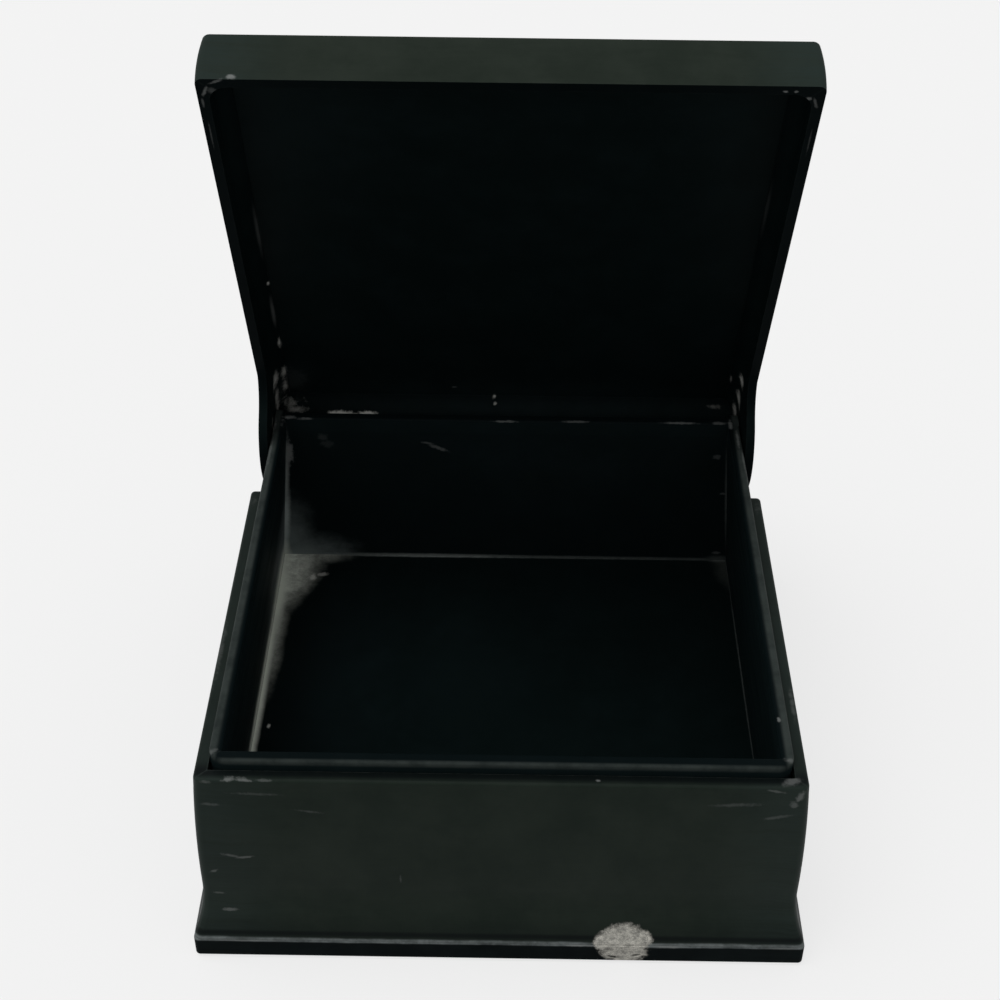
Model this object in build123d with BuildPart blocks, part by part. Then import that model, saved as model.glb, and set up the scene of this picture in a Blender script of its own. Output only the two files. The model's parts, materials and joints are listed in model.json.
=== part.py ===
"""Cufflink display box: a lined wooden case with a lid that turns on two hidden pins.

Millimetres, +Z up, +X to the right and +Y to the back. The origin is the middle of the underside.
The case walls and the lid are frames of mitred boards. The lid is drawn closed and set open.
"""

import os
from math import sqrt

from build123d import *

# ---- driving sizes -------------------------------------------------------------------------
WIDTH = 90.0            # across the case walls at their top edge
DEPTH = 94.4            # front to back, same height
WALL_TOP = 37.9         # height of the ledge that the lid comes down to
LID_HEIGHT = 9.3
LID_OPEN = 68.0         # degrees from closed in the pose that is drawn

# ---- clearances ----------------------------------------------------------------------------
GLUE_GAP = 0.1          # between boards that are glued face to face
SWING_GAP = 0.3         # between the lid and the case
PIN_PLAY = 0.04         # round each pin, in the lid
REST_GAP = 0.6          # between the lid, laid right back, and the top of the back wall

# ---- base ----------------------------------------------------------------------------------
FELT = 0.4
FELT_INSET = 3.0
PLATE = 3.8
PLATE_REACH = 3.1       # how far the base plate stands out beyond the top edge of the walls
PLATE_CORNER = 0.8
PLATE_BEVEL = 0.2       # along the top edges
PLATE_ROUND = 0.3       # along the bottom edges
LINING = 0.3
PLATE_TOP = FELT + PLATE

# ---- case walls: distances out from the top edge, and heights ------------------------------
WALL = 1.7              # thickness at the ledge
TOE = 0.1               # the foot stops this far short of the edge of the plate
TOE_HEIGHT = 0.3
WAIST = 1.08            # outer face at the waist, where the cove of the foot ends
WAIST_Z = 14.5
SHOULDER = 0.25         # outer face just under the rounded top edge
SHOULDER_ROUND = 0.5
BULGE = 0.93            # outer face half way up the belly
CORNER = 1.2            # upright outer corners

# ---- lining boards -------------------------------------------------------------------------
LIP = 2.0               # thickness of the lip that stands up inside the lid
LIP_RISE = 2.1          # how far the lip stands above the ledge
LIP_STRAIGHT = 0.9      # how far down from the ledge the lip keeps its full thickness
LINER_FOOT = 1.0        # thickness at the floor
LINER_SPLAY = 3.0       # how far the inner face moves out from lip to floor
LIP_ROUND = 0.45
LIP_Z = WALL_TOP + LIP_RISE
LEDGE = WALL + GLUE_GAP
LINER_FLARE = LINER_FOOT + LINER_SPLAY - LIP

# ---- hinge ---------------------------------------------------------------------------------
LUG = 2.4               # radius of the rounded end of each side lip, round the pin
HINGE_INSET = 4.4       # from the back edge of the case to the pins
HINGE_Y = DEPTH / 2 - HINGE_INSET
HINGE_Z = LIP_Z - LUG
PIN = 0.8               # radius
PIN_IN = 1.6            # length held in the lug
PIN_OUT = 1.1           # length that turns in the lid
PIN_BEVEL = 0.15
LUG_ROOT = 2.5          # how far each lug runs forward into its board

# ---- cut-outs in the case for the lid to swing in ------------------------------------------
NOTCH = 25.2            # length of the cut-outs in the side walls, from the back edge
NOTCH_Z = 25.7
NOTCH_ROUND = 8.5
NOTCH_SHOULDER = 1.2
NOTCH_Y = DEPTH / 2 - NOTCH
RAIL_GAP = 0.4          # between the thick back rail and the lining, at the top
BACK_TOP_ROUND = 0.5

# ---- lid, drawn closed ---------------------------------------------------------------------
RIM_Z = WALL_TOP + SWING_GAP
LID_Z = RIM_Z + LID_HEIGHT
LID_SIDE = 0.15         # outer face at the rim, out from the case's top edge
LID_BELLY = 0.27
LID_BELLY_Z = 3.7       # above the rim
LID_EDGE = 0.7          # rounding of the top edge
LID_LEAN = 0.1          # outer face under that rounding, in from the case's top edge
LID_WALL = LEDGE - SWING_GAP
LID_STRAIGHT = 2.4      # plain part of the inner face, above the rim
LID_COVE = 6.5          # height above the rim where the cove of the inner face ends
LID_FRAME = 3.6         # thickness of the rails at the inner panel
REBATE = 2.35           # width left outside the top panel
TOP_PANEL = 1.8
INNER_PANEL = 0.9
PANEL_GAP = 0.05
RIM_CORNER = 3.0        # inner corners of the lid's front, over the corners of the lip
LIP_CORNER = RIM_CORNER - SWING_GAP

# ---- ears of the lid, in the closed lid, seen from the pin ----------------------------------
EAR = 10.8              # radius
EAR_Y = 0.2             # centre of the ear behind the pin
EAR_Z = -0.7            # and above it
EAR_SWEEP = 9.0         # hollow curve from the ear into the rim
EAR_ROOT = 0.1          # how far the ear runs up into the rim
EAR_INSET = 0.1         # outer faces of the ear, in from those of the rim

OUTSIDE = 6.0           # how far a cutting shape stands clear of what it cuts
INSIDE = 7.5            # how far a mitre runs in from the corner

HALF_X = WIDTH / 2
HALF_Y = DEPTH / 2
LINER_X = HALF_X - LEDGE
LINER_FRONT = -HALF_Y + LEDGE
LINER_BACK = HINGE_Y
LINER_MID = (LINER_FRONT + LINER_BACK) / 2
LINER_Y = (LINER_BACK - LINER_FRONT) / 2
LUG_INNER = LINER_X - LIP + GLUE_GAP
FLOOR_REACH = LINER_SPLAY - LIP - GLUE_GAP
RAIL_Y = LINER_BACK + RAIL_GAP
SPLAY_Z = NOTCH_Z - SWING_GAP
RAIL_FOOT_Y = LINER_BACK + LINER_FLARE + GLUE_GAP
WALL_FOOT = LINER_FLARE + GLUE_GAP - LEDGE
BACK_TOP = HINGE_Z - (HALF_Y + LID_SIDE - HINGE_Y) - REST_GAP


def section_plane(half_y):
    """Upright plane across the front board: x runs outwards and y runs up."""
    return Plane(origin=(0, -half_y, 0), x_dir=(0, -1, 0), z_dir=(-1, 0, 0))


def frame_path(half_x, half_y):
    """Rectangle that a board's section is swept round, from the middle of the front."""
    with BuildLine() as path:
        Polyline(
            (0, -half_y),
            (half_x, -half_y),
            (half_x, half_y),
            (-half_x, half_y),
            (-half_x, -half_y),
            (0, -half_y),
        )
    return path.wires()[0]


def corner_edges(part, half_x, half_y):
    """Upright outer edges of a swept frame, all four corners."""
    return [
        edge
        for edge in part.edges()
        if abs(edge.center().X) > half_x - SWING_GAP and abs(edge.center().Y) > half_y - SWING_GAP
    ]


def outer_rim(frame, height, clear_x, clear_y):
    """Outer edges of a frame at one height, corners and all."""
    return [
        edge
        for edge in frame.edges().filter_by_position(Axis.Z, height, height)
        if abs(edge.center().X) > clear_x or abs(edge.center().Y) > clear_y
    ]


def board(frame, side, half_x, half_y):
    """One mitred board: what lies on one side of a swept frame."""
    turns = {"front": (0, -1), "back": (0, 1), "left": (-1, 0), "right": (1, 0)}
    across, along = turns[side]
    far = OUTSIDE
    near = -INSIDE
    with BuildPart() as piece:
        add(frame)
        with BuildSketch():
            with BuildLine():
                if across:
                    Polyline(
                        (across * (half_x + far), -half_y - far),
                        (across * (half_x + far), half_y + far),
                        (across * (half_x + near), half_y + near),
                        (across * (half_x + near), -half_y - near),
                        close=True,
                    )
                else:
                    Polyline(
                        (-half_x - far, along * (half_y + far)),
                        (half_x + far, along * (half_y + far)),
                        (half_x + near, along * (half_y + near)),
                        (-half_x - near, along * (half_y + near)),
                        close=True,
                    )
            make_face()
        extrude(amount=LID_Z + OUTSIDE, mode=Mode.INTERSECT)
    return piece


def mirrored(piece):
    """The twin of a side piece, on the other side of the box."""
    with BuildPart() as twin:
        add(mirror(piece.part, about=Plane.YZ))
    return twin


# ---- base ----------------------------------------------------------------------------------
with BuildPart() as underside_felt:
    with BuildSketch():
        RectangleRounded(
            WIDTH + 2 * (PLATE_REACH - FELT_INSET),
            DEPTH + 2 * (PLATE_REACH - FELT_INSET),
            PLATE_CORNER,
        )
    extrude(amount=FELT)

with BuildPart() as base_plate:
    with BuildSketch(Plane.XY.offset(FELT)):
        RectangleRounded(WIDTH + 2 * PLATE_REACH, DEPTH + 2 * PLATE_REACH, PLATE_CORNER)
    extrude(amount=PLATE)
    chamfer(base_plate.faces().sort_by(Axis.Z)[-1].edges(), PLATE_BEVEL)
    fillet(base_plate.faces().sort_by(Axis.Z)[0].edges(), PLATE_ROUND)

# ---- case walls ----------------------------------------------------------------------------
with BuildPart() as shell_frame:
    with BuildSketch(section_plane(HALF_Y)):
        with BuildLine():
            foot = Line((WALL_FOOT, PLATE_TOP), (PLATE_REACH - TOE, PLATE_TOP))
            toe = Line(foot @ 1, (PLATE_REACH - TOE, PLATE_TOP + TOE_HEIGHT))
            cove = TangentArc((WAIST, WAIST_Z), toe @ 1, tangent=(0, -1))
            belly = ThreePointArc(
                cove @ 0,
                (BULGE, (WAIST_Z + WALL_TOP) / 2),
                (SHOULDER, WALL_TOP),
            )
            Polyline(belly @ 1, (-WALL, WALL_TOP), (-WALL, SPLAY_Z), foot @ 0)
        make_face()
    sweep(path=frame_path(HALF_X, HALF_Y), transition=Transition.RIGHT)
    fillet(corner_edges(shell_frame, HALF_X, HALF_Y), CORNER)
    fillet(outer_rim(shell_frame, WALL_TOP, HALF_X - WALL / 2, HALF_Y - WALL / 2), SHOULDER_ROUND)

def swing_room():
    """Side view of the space that the ears of the lid turn in, behind the full-height walls."""
    with BuildSketch(Plane.YZ) as room:
        with BuildLine():
            Polyline(
                (NOTCH_Y, LIP_Z + OUTSIDE),
                (NOTCH_Y, NOTCH_Z),
                (HALF_Y + OUTSIDE, NOTCH_Z),
                (HALF_Y + OUTSIDE, LIP_Z + OUTSIDE),
                close=True,
            )
        make_face()
        fillet(room.vertices().sort_by(Axis.Y)[:2].sort_by(Axis.X)[0], NOTCH_ROUND)
    return room.sketch


shell_front = board(shell_frame.part, "front", HALF_X, HALF_Y)

with BuildPart() as shell_left:
    add(board(shell_frame.part, "left", HALF_X, HALF_Y).part)
    extrude(swing_room(), amount=WIDTH, both=True, mode=Mode.SUBTRACT)
    brink = shell_left.edges().filter_by(Axis.X).filter_by_position(Axis.Z, WALL_TOP, WALL_TOP)
    fillet(brink.sort_by(Axis.Y)[-1], NOTCH_SHOULDER)

shell_right = mirrored(shell_left)

with BuildPart() as shell_back:
    add(board(shell_frame.part, "back", HALF_X, HALF_Y).part)
    with BuildSketch(Plane.YZ):
        with BuildLine():
            Polyline(
                (RAIL_Y, WALL_TOP),
                (HALF_Y - WALL / 2, WALL_TOP),
                (HALF_Y - WALL / 2, SPLAY_Z),
                (HALF_Y + WAIST, PLATE_TOP),
                (RAIL_FOOT_Y, PLATE_TOP),
                (RAIL_Y, SPLAY_Z),
                close=True,
            )
        make_face()
    extrude(amount=LINER_X, both=True)
    with BuildSketch(Plane.XY.offset(BACK_TOP)):
        Rectangle(2 * WIDTH, 2 * DEPTH)
    extrude(amount=WALL_TOP, mode=Mode.SUBTRACT)
    with BuildSketch(Plane.XY.offset(NOTCH_Z)):
        with Locations((HALF_X + LINER_X, 0), (-HALF_X - LINER_X, 0)):
            Rectangle(WIDTH, 2 * DEPTH)
    extrude(amount=WALL_TOP, mode=Mode.SUBTRACT)
    top_rim = shell_back.edges().filter_by(Axis.X).filter_by_position(Axis.Z, BACK_TOP, BACK_TOP)
    fillet(top_rim.sort_by(Axis.Y)[-1], BACK_TOP_ROUND)

# ---- lining --------------------------------------------------------------------------------
with BuildPart() as liner_frame:
    with BuildSketch(section_plane(LINER_Y)):
        with BuildLine():
            Polyline(
                (LINER_FLARE, PLATE_TOP),
                (0, SPLAY_Z),
                (0, LIP_Z),
                (-LIP, LIP_Z),
                (-LIP, WALL_TOP - LIP_STRAIGHT),
                (LINER_SPLAY - LIP, PLATE_TOP),
                close=True,
            )
        make_face()
    sweep(path=frame_path(LINER_X, LINER_Y), transition=Transition.RIGHT)
    front_corners = [
        edge for edge in corner_edges(liner_frame, LINER_X, LINER_Y) if edge.center().Y < 0
    ]
    fillet(front_corners, LIP_CORNER)
    fillet(liner_frame.faces().sort_by(Axis.Z)[-1].edges(), LIP_ROUND)


def liner_board(side):
    """A lining board in its place, shifted forward from the middle of the box."""
    with BuildPart() as piece:
        with Locations((0, LINER_MID, 0)):
            add(board(liner_frame.part, side, LINER_X, LINER_Y).part)
    return piece


liner_front = liner_board("front")

with BuildPart() as liner_right:
    add(liner_board("right").part)
    with BuildSketch(Plane.YZ.offset(LUG_INNER)):
        with Locations((HINGE_Y, HINGE_Z)):
            Circle(LUG)
        with Locations((LINER_BACK - LUG_ROOT / 2, HINGE_Z)):
            Rectangle(LUG_ROOT, 2 * LUG)
    extrude(amount=LINER_X - LUG_INNER)
    with BuildSketch(Plane.YZ.offset(LINER_X - PIN_IN)):
        with Locations((HINGE_Y, HINGE_Z)):
            Circle(PIN)
    extrude(amount=PIN_IN, mode=Mode.SUBTRACT)

with BuildPart() as liner_back:
    add(liner_board("back").part)
    with BuildSketch(Plane.XY.offset(HINGE_Z - LUG)):
        with Locations((LUG_INNER + LIP, LINER_BACK), (-LUG_INNER - LIP, LINER_BACK)):
            Rectangle(2 * LIP, 2 * LUG_ROOT)
    extrude(amount=WALL_TOP, mode=Mode.SUBTRACT)

with BuildPart() as pivot_pin_right:
    with BuildSketch(Plane.YZ.offset(LINER_X - PIN_IN)):
        with Locations((HINGE_Y, HINGE_Z)):
            Circle(PIN)
    extrude(amount=PIN_IN + SWING_GAP + PIN_OUT)
    chamfer(pivot_pin_right.edges().group_by(Axis.X)[-1], PIN_BEVEL)

liner_left = mirrored(liner_right)
pivot_pin_left = mirrored(pivot_pin_right)

with BuildPart() as floor_lining:
    with BuildSketch(Plane.XY.offset(PLATE_TOP)):
        with Locations((0, LINER_MID)):
            Rectangle(2 * (LINER_X + FLOOR_REACH), 2 * (LINER_Y + FLOOR_REACH))
    extrude(amount=LINING)

# ---- lid, closed ---------------------------------------------------------------------------
with BuildPart() as lid_frame:
    with BuildSketch(section_plane(HALF_Y)):
        with BuildLine():
            face = ThreePointArc(
                (LID_SIDE, RIM_Z),
                (LID_BELLY, RIM_Z + LID_BELLY_Z),
                (-LID_LEAN, LID_Z),
            )
            top = Polyline(
                face @ 1,
                (-REBATE, LID_Z),
                (-REBATE, LID_Z - TOP_PANEL),
                (-LID_FRAME, LID_Z - TOP_PANEL),
                (-LID_FRAME, RIM_Z + LID_COVE),
            )
            cove = TangentArc((-LID_WALL, RIM_Z + LID_STRAIGHT), top @ 1, tangent=(0, 1))
            Polyline(cove @ 0, (-LID_WALL, RIM_Z), face @ 0)
        make_face()
    sweep(path=frame_path(HALF_X, HALF_Y), transition=Transition.RIGHT)
    fillet(corner_edges(lid_frame, HALF_X, HALF_Y), CORNER)
    fillet(outer_rim(lid_frame, LID_Z, HALF_X - REBATE / 2, HALF_Y - REBATE / 2), LID_EDGE)
    rim_corners = [
        edge
        for edge in lid_frame.edges().filter_by(Axis.Z)
        if edge.center().Z < RIM_Z + LID_STRAIGHT and -HALF_Y < edge.center().Y < 0
        and abs(edge.center().X) < HALF_X - LID_WALL + PANEL_GAP
    ]
    fillet(rim_corners, RIM_CORNER)

lid_front_closed = board(lid_frame.part, "front", HALF_X, HALF_Y)
lid_back_closed = board(lid_frame.part, "back", HALF_X, HALF_Y)

# The ear is a disc round the pin, blended into the rim in front by a hollow curve, and cut off
# flush with the back of the lid.
ear_y = HINGE_Y + EAR_Y
ear_z = HINGE_Z + EAR_Z
reach = EAR + EAR_SWEEP
root_z = RIM_Z + EAR_ROOT
sweep_z = root_z - EAR_SWEEP
sweep_y = ear_y - sqrt(reach**2 - (sweep_z - ear_z) ** 2)
meet_y = ear_y + (sweep_y - ear_y) * EAR / reach
meet_z = ear_z + (sweep_z - ear_z) * EAR / reach
back_y = HALF_Y + LID_SIDE - EAR_INSET
ear_side = LID_SIDE - EAR_INSET
back_z = ear_z - sqrt(EAR**2 - (back_y - ear_y) ** 2)

with BuildPart() as ear_right:
    with BuildSketch(Plane.YZ.offset(HALF_X - LID_WALL)):
        with BuildLine():
            hollow = TangentArc((sweep_y, root_z), (meet_y, meet_z), tangent=(1, 0))
            disc = ThreePointArc(hollow @ 1, (ear_y, ear_z - EAR), (back_y, back_z))
            Polyline(disc @ 1, (back_y, root_z), hollow @ 0)
        make_face()
    extrude(amount=LID_WALL + ear_side)
    with BuildSketch(Plane.XY):
        RectangleRounded(WIDTH + 2 * ear_side, DEPTH + 2 * ear_side, CORNER)
    extrude(amount=LID_Z, mode=Mode.INTERSECT)

with BuildPart() as lid_right_closed:
    add(board(lid_frame.part, "right", HALF_X, HALF_Y).part)
    add(ear_right.part)
    with BuildSketch(Plane.YZ.offset(HALF_X - LID_WALL)):
        with Locations((HINGE_Y, HINGE_Z)):
            Circle(PIN + PIN_PLAY)
    extrude(amount=PIN_OUT + GLUE_GAP, mode=Mode.SUBTRACT)

lid_left_closed = mirrored(lid_right_closed)

with BuildPart() as top_panel_closed:
    with BuildSketch(Plane.XY.offset(LID_Z - TOP_PANEL)):
        Rectangle(WIDTH - 2 * (REBATE + PANEL_GAP), DEPTH - 2 * (REBATE + PANEL_GAP))
    extrude(amount=TOP_PANEL)

with BuildPart() as inner_panel_closed:
    with BuildSketch(Plane.XY.offset(LID_Z - TOP_PANEL)):
        Rectangle(WIDTH - 2 * (LID_FRAME + PANEL_GAP), DEPTH - 2 * (LID_FRAME + PANEL_GAP))
    extrude(amount=-INNER_PANEL)

# ---- lid, set open about the pins ------------------------------------------------------------
TO_PIN = Location((0, HINGE_Y, HINGE_Z))
OPENED = TO_PIN * Location((0, 0, 0), (-LID_OPEN, 0, 0)) * TO_PIN.inverse()


def opened(closed):
    """A piece of the lid, turned about the pins from closed to open."""
    with BuildPart() as piece:
        with Locations(OPENED):
            add(closed.part)
    return piece


lid_front_rail = opened(lid_front_closed)
lid_back_rail = opened(lid_back_closed)
lid_left_rail = opened(lid_left_closed)
lid_right_rail = opened(lid_right_closed)
lid_top_panel = opened(top_panel_closed)
lid_inner_panel = opened(inner_panel_closed)

# ---- export --------------------------------------------------------------------------------
pieces = {
    "underside_felt": underside_felt,
    "base_plate": base_plate,
    "floor_lining": floor_lining,
    "shell_front": shell_front,
    "shell_back": shell_back,
    "shell_left": shell_left,
    "shell_right": shell_right,
    "liner_front": liner_front,
    "liner_back": liner_back,
    "liner_left": liner_left,
    "liner_right": liner_right,
    "pivot_pin_left": pivot_pin_left,
    "pivot_pin_right": pivot_pin_right,
    "lid_front_rail": lid_front_rail,
    "lid_back_rail": lid_back_rail,
    "lid_left_rail": lid_left_rail,
    "lid_right_rail": lid_right_rail,
    "lid_top_panel": lid_top_panel,
    "lid_inner_panel": lid_inner_panel,
}

os.makedirs("parts", exist_ok=True)
for name, piece in pieces.items():
    piece.part.label = name
    export_step(piece.part, f"parts/{name}.step")
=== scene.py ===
"""Looks for the cufflink display box: worn black lacquer over its boards, pale floor, soft light."""

import json
from collections import namedtuple
from math import cos, radians, sin

import bmesh
import bpy
from mathutils import Matrix, Vector


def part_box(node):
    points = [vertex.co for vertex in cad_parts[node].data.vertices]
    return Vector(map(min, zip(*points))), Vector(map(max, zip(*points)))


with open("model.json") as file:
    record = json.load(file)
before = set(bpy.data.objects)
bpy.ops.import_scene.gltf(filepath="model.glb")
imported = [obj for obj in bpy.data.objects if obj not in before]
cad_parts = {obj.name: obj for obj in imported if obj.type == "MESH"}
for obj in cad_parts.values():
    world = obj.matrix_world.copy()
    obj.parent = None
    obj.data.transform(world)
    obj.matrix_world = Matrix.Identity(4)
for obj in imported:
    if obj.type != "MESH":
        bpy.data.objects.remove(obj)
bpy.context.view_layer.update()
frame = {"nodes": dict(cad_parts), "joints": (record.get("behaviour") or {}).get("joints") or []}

MM = 0.001


def corners(node):
    """Lowest and highest corner of a node, in millimetres."""
    return [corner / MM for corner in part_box(node)]


# ---- sizes and places, in millimetres, and angles, in degrees --------------------------------
hinge = frame["joints"][0]
PIN = tuple(length / MM for length in hinge["pos_m"])
LID_OPEN = -hinge["range_deg"][0]
LIP = 2.0                   # thickness of the lip
LEDGE = 1.8                 # from the lip's outer face to that of the wall
LIP_X = corners("liner_right")[0].x + LIP
LIP_Y = corners("liner_front")[1].y - LIP
LIP_TOP = corners("liner_front")[1].z
HALF_X = LIP_X + LEDGE
HALF_Y = LEDGE - LIP_Y
PLATE_TOP = corners("base_plate")[1].z
FOOT_LINE_Z = PLATE_TOP + 0.15
GROOVE_Z = PLATE_TOP + 1.3
# the groove is where the painted shade on the foot is darkest
GROOVE = 0.7                # half the height of the groove, where the foot is darkest
# heights over which the painted shade on the foot fades out
FOOT_PAINTED_SHADE = (PLATE_TOP + 0.8, PLATE_TOP + 5.8)
BOARD_ENDS = (30.0, 46.0)   # from the middle to where a board pales toward its ends
FLOOR = 3000.0
FLOOR_DROP = 0.05           # the floor lies this far below the felt

# ---- camera and light, in millimetres and degrees --------------------------------------------
CAMERA_AT = (0.609, -218.091, 225.203)
CAMERA_DOWN = 38.228
CAMERA_ASIDE = -0.381
CAMERA_ROLL = 0.555
LENS = 61.524
NEAREST = 10.0
SKY_LIGHT = 0.55            # what the sky gives to the scene
SKY_SEEN = 0.90             # what the sky shows to the eye and in reflections
SUN = 1.5
SUN_SPREAD = 50             # how wide the lamp is, for soft shadows
SUN_TILT = (6, -18, 0)

# ---- colours, linear -------------------------------------------------------------------------
LACQUER = (0.0085, 0.0140, 0.0105, 1)
LACQUER_WORN = (0.0150, 0.0215, 0.0165, 1)
LACQUER_ENDS = (0.0200, 0.0300, 0.0275, 1)
# lighter copy of the lacquer for the outside of the lid's rails: painted light from above
LACQUER_LID_LIT = (0.0158, 0.0215, 0.0168, 1)
LACQUER_LID_LIT_WORN = (0.0225, 0.0292, 0.0232, 1)
# pale tone of worn arrises, also laid on as painted highlight along edges
LACQUER_RUB_AND_HIGHLIGHT = (0.048, 0.058, 0.054, 1)
LACQUER_PALE = (0.17, 0.19, 0.19, 1)
LACQUER_DEEP = (0.0024, 0.0050, 0.0050, 1)
# milky tone of hazy lacquer, also laid on the floor as painted sheen
LACQUER_HAZE_AND_SHEEN = (0.0070, 0.0125, 0.0135, 1)
# near-black laid on as painted shade over the ledge, the foot of the walls, the lid's rim and the
# base plate; it also darkens the very top of the lip
BLACK_AND_PAINTED_SHADE = (0.0012, 0.0024, 0.0028, 1)
# darker copy of the lacquer for the base plate: painted shade
LACQUER_PLATE_SHADED = (0.0040, 0.0066, 0.0070, 1)
# pale tone of bare wear, also laid on as painted reflection along the lid's inner corners
BARE_EDGE_AND_REFLECTION = (0.20, 0.21, 0.205, 1)
FIBRE_PALE = (0.72, 0.70, 0.63, 1)
FIBRE_DARK = (0.28, 0.275, 0.25, 1)
CHALK = (0.62, 0.62, 0.58, 1)
DUST = (0.50, 0.55, 0.53, 1)
DUST_COOL = (0.36, 0.42, 0.42, 1)
# warm dust; along the left seam of the floor it also stands in for a painted highlight
WARM_DUST_AND_HIGHLIGHT = (0.78, 0.82, 0.74, 1)
FELT_BLACK = (0.006, 0.006, 0.006, 1)
FELT_GREY = (0.020, 0.020, 0.019, 1)
STEEL = (0.46, 0.46, 0.45, 1)
STEEL_DULL = (0.28, 0.27, 0.25, 1)
PAPER = (0.90, 0.90, 0.90, 1)
PAPER_BOUNCE = (0.45, 0.45, 0.45, 1)
PAPER_GLOW = (0.718, 0.718, 0.718, 1)
PAPER_SHADE = 0.20          # how dark the shadow on the floor is

# ---- finishes: gloss, brush directions, and coats of lacquer -----------------------------------
OUTER_GLOSS = 0.05
INNER_GLOSS = 0.012
FELT_GLOSS = 0.1
UPRIGHT = (0.06, 0.06, 1.6)     # streaks run round the upright boards
FLAT = (0.06, 1.6, 0.06)        # streaks run across the flat panels
STREAKS = (0.3, 0.7)            # from the faintest brush lines to the strongest
CLOUDS = (0.35, 0.80)           # from clear lacquer to hazy
DRY = 0.3                       # how much rougher a worn place is

# A coat is its least and most roughness, the height of its brush lines, how deep its relief may be
# in millimetres, and how strongly that shows.
Coat = namedtuple("Coat", "smooth rough relief depth strength")
SATIN = Coat(smooth=0.42, rough=0.56, relief=0.05, depth=0.25, strength=1.0)
PLATE_SATIN = SATIN._replace(smooth=0.44, rough=0.58)
DEEP = Coat(smooth=0.34, rough=0.48, relief=0.1, depth=0.2, strength=0.7)

# ---- local wear ------------------------------------------------------------------------------
# A spot is its centre and reach in millimetres, its turn in degrees and its strength. Spots on the
# lid are placed with the lid open. The edge of a spot has a raggedness and a grain, and the core is
# the share of it that is full.
Edge = namedtuple("Edge", "ragged grain core")
Wear = namedtuple("Wear", "tint amount edge spots")

# Fine scratches on the front, most of them at the left
FRONT_SCRATCHES = Wear(BARE_EDGE_AND_REFLECTION, 0.42, Edge(0.75, 1.6, 0.3), [
    ((-40.8, -48.3, 22.0), (1.9, 0.8, 0.35), (0, 12, 0), 0.65),
    ((-38.8, -48.3, 21.7), (1.7, 0.8, 0.32), (0, -8, 0), 0.85),
    ((-43.8, -48.3, 18.4), (0.9, 0.8, 0.35), (0, -25, 0), 0.8),
    ((-43.4, -48.4, 13.3), (1.3, 0.8, 0.28), (0, 4, 0), 0.6),
    ((-42.0, -48.8, 9.8), (1.5, 0.8, 0.45), (0, 0, 0), 0.9),
    ((-28.5, -48.2, 31.8), (2.8, 0.8, 0.35), (0, 8, 0), 0.40),
    ((-15.2, -48.2, 17.2), (0.2, 0.8, 1.0), (0, 0, 0), 0.40),
    ((-43.2, -48.0, 33.0), (2.0, 0.8, 0.4), (0, 5, 0), 0.45),
    ((-36.0, -48.0, 35.2), (5.0, 0.8, 0.35), (0, 2, 0), 0.35),
    ((35.0, -48.0, 34.4), (5.0, 0.8, 0.5), (0, -3, 0), 0.40),
    ((41.0, -48.0, 32.0), (2.6, 0.8, 0.4), (0, -12, 0), 0.45),
])
# Scuffs along the ledge and at the front corners
LEDGE_SCUFFS = Wear(BARE_EDGE_AND_REFLECTION, 0.60, Edge(0.9, 1.3, 0.3), [
    ((-40.0, -47.1, 37.75), (1.2, 0.7, 0.30), (0, -4, 0), 0.85),
    ((-37.7, -47.2, 37.75), (1.6, 0.7, 0.22), (0, 4, 0), 0.75),
    ((-34.6, -47.3, 37.75), (1.6, 0.6, 0.18), (0, 0, 0), 0.40),
    ((-43.4, -47.2, 37.4), (1.2, 0.9, 0.35), (0, 0, 0), 0.45),
    ((44.0, -47.3, 36.2), (0.7, 1.0, 1.7), (0, 20, 0), 0.75),
    ((43.2, -47.6, 34.6), (0.7, 0.9, 0.9), (0, -30, 0), 0.50),
    ((42.6, -46.2, 37.9), (1.8, 0.9, 0.4), (0, 0, 25), 0.55),
    ((40.4, -47.4, 37.2), (1.6, 0.6, 0.3), (0, 10, 0), 0.50),
    ((14.2, -46.5, 37.9), (0.5, 0.35, 0.2), (0, 0, 0), 0.8),
    ((44.7, -30.0, 37.7), (0.5, 5.0, 0.4), (0, 0, 0), 0.35),
    ((-44.8, -20.0, 37.7), (0.5, 9.0, 0.4), (0, 0, 0), 0.30),
    ((-44.4, 18.5, 37.5), (0.7, 2.2, 0.6), (0, 0, 0), 0.35),
    ((44.4, 18.5, 37.5), (0.7, 2.2, 0.6), (0, 0, 0), 0.35),
])
# Knocks at the front corners of the rim of the lid
RIM_WEAR = Wear(BARE_EDGE_AND_REFLECTION, 0.75, Edge(0.7, 1.5, 0.3), [
    ((-39.8, 10.1, 121.5), (0.9, 0.6, 0.40), (0, 0, 0), 1.0),
    ((-42.0, 9.9, 121.0), (1.5, 0.5, 0.28), (0, -22, 0), 0.55),
    ((-43.9, 10.6, 119.1), (0.35, 1.0, 1.5), (0, 25, 0), 0.65),
    ((-44.5, 11.4, 116.9), (0.25, 1.0, 1.3), (0, 0, 0), 0.40),
    ((-44.3, 13.9, 110.6), (0.16, 2.6, 6.6), (-22, 0, 0), 0.25),
    ((-42.9, 10.3, 119.2), (0.9, 0.7, 0.9), (0, 0, 0), 0.30),
    ((39.3, 10.0, 120.4), (0.45, 0.6, 0.28), (0, 0, 0), 0.9),
    ((40.8, 10.0, 120.4), (0.35, 0.6, 0.3), (0, 0, 0), 0.7),
    ((42.8, 10.5, 119.1), (0.5, 0.6, 0.45), (0, 0, 0), 0.7),
    ((43.9, 10.9, 118.3), (0.3, 0.9, 1.5), (0, -20, 0), 0.40),
    ((44.3, 13.9, 110.6), (0.16, 2.6, 6.6), (-22, 0, 0), 0.20),
])
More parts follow.
